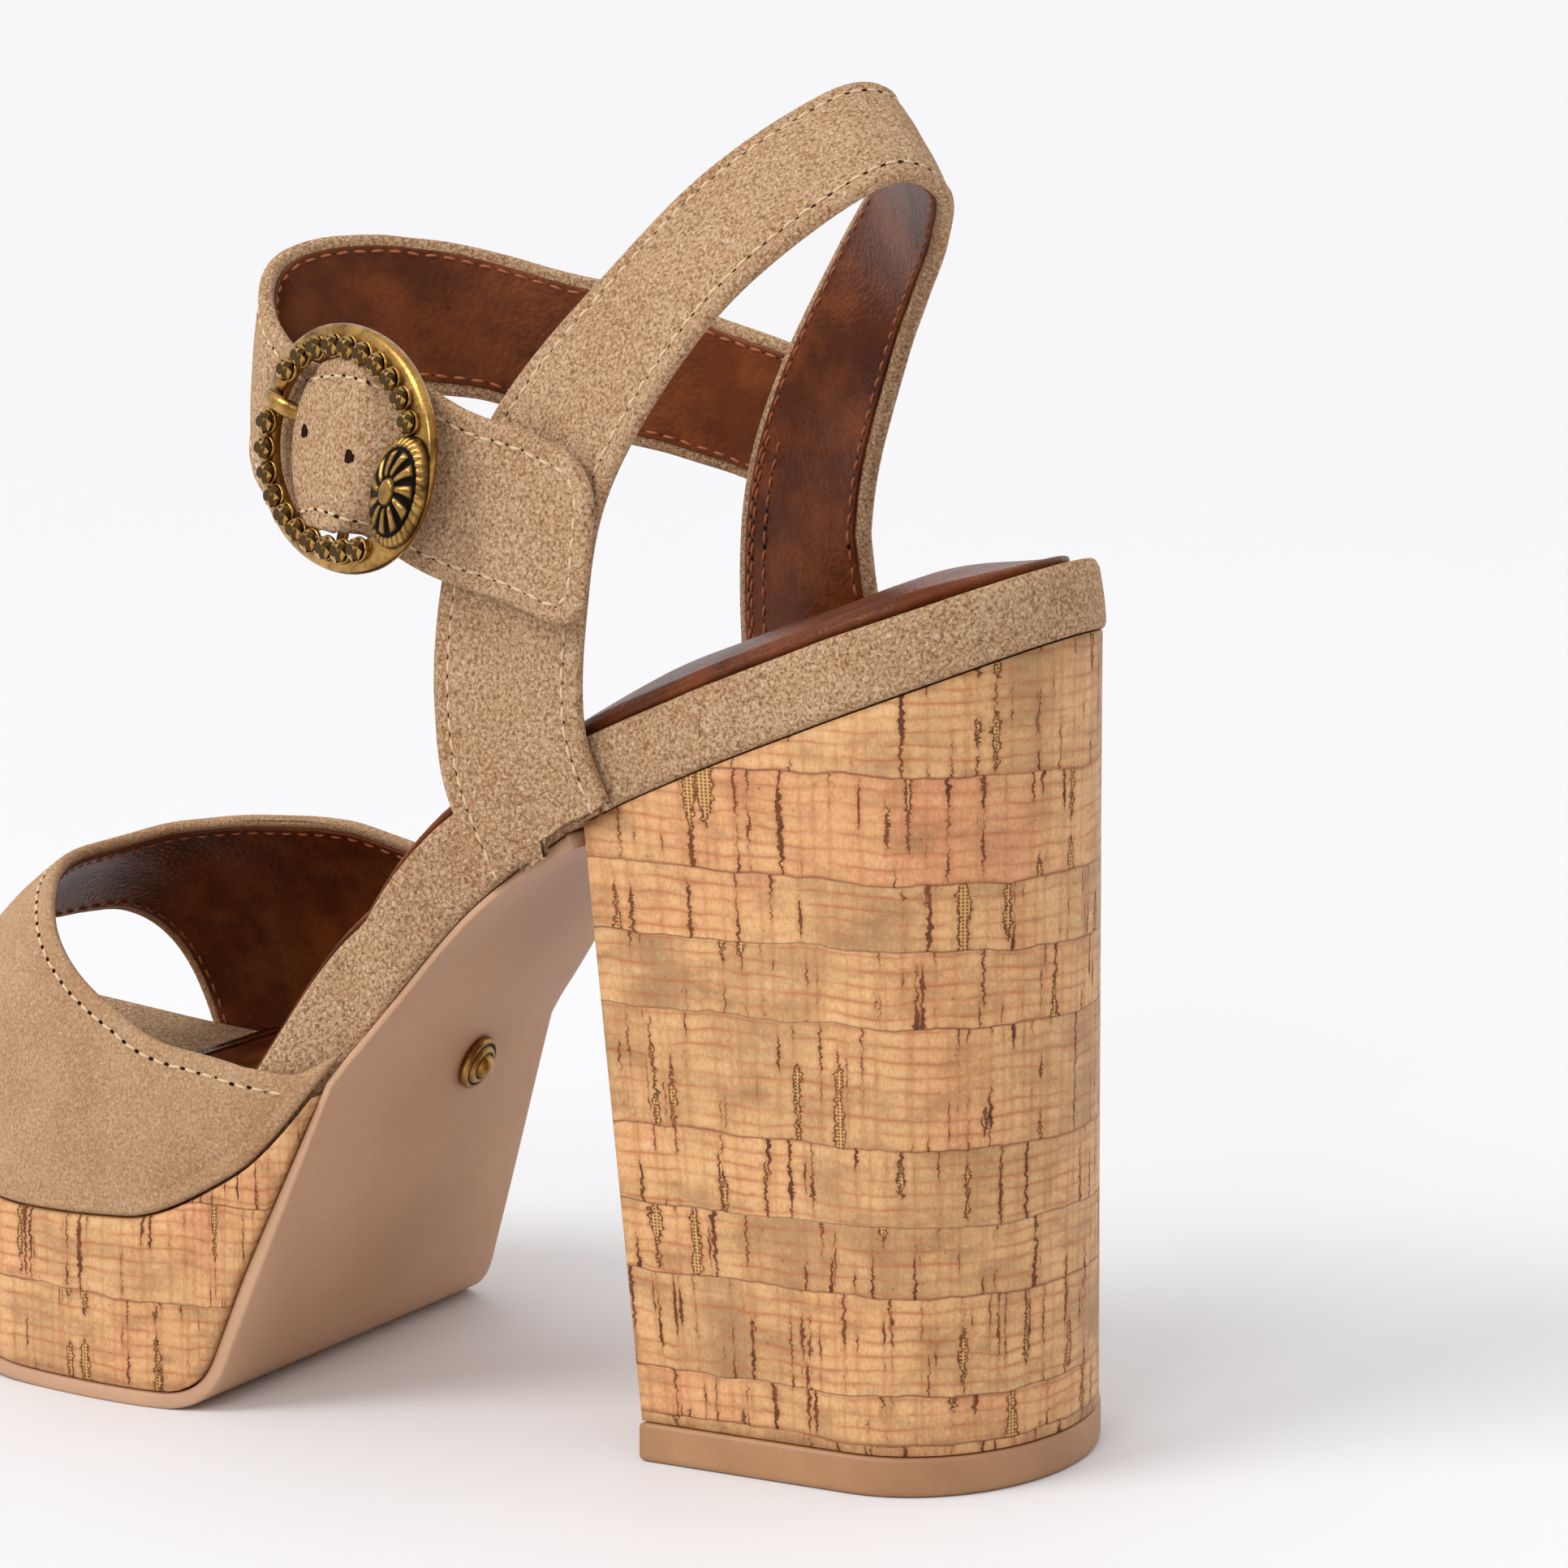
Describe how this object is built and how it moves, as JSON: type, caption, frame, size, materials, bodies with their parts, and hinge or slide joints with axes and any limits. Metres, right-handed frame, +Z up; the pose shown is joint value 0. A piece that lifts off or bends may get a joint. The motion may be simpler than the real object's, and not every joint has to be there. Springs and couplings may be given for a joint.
{
  "type": "platform sandal",
  "caption": "High block-heeled platform sandal with an open toe, a sling strap and a buckled ankle strap, left foot.",
  "frame": {"origin": "on the floor at the middle of the heel tip", "axes": "+Y from heel to toe, +X to the inner side of the left foot, +Z up"},
  "size_m": [0.0912, 0.2151, 0.2039],
  "materials": {
    "suede": "tan suede",
    "cork": "matte cork veneer",
    "sole_tan": "satin",
    "tip_tan": "satin",
    "lining": "semi-gloss",
    "old_gold": "antiqued, polished high spots",
    "stone": "faceted, bronze mirror back"
  },
  "bodies": {
    "root": {"ankle_strap": "suede", "buckle_boss": "old_gold", "buckle_frame": "old_gold", "buckle_prong": "old_gold", "chape": "lining", "footbed": "suede", "heel": "cork", "insole": "lining", "outsole": "sole_tan", "platform": "cork", "sling_strap": "suede", "sole_stud": "old_gold", "stone_01": "stone", "stone_02": "stone", "stone_03": "stone", "stone_04": "stone", "stone_05": "stone", "stone_06": "stone", "stone_07": "stone", "stone_08": "stone", "stone_09": "stone", "stone_10": "stone", "stone_11": "stone", "stone_12": "stone", "stone_13": "stone", "stone_14": "stone", "stone_15": "stone", "stone_16": "stone", "stone_17": "stone", "stone_18": "stone", "stone_19": "stone", "stone_20": "stone", "top_lift": "tip_tan", "vamp": "suede"}
  },
  "joints": []
}
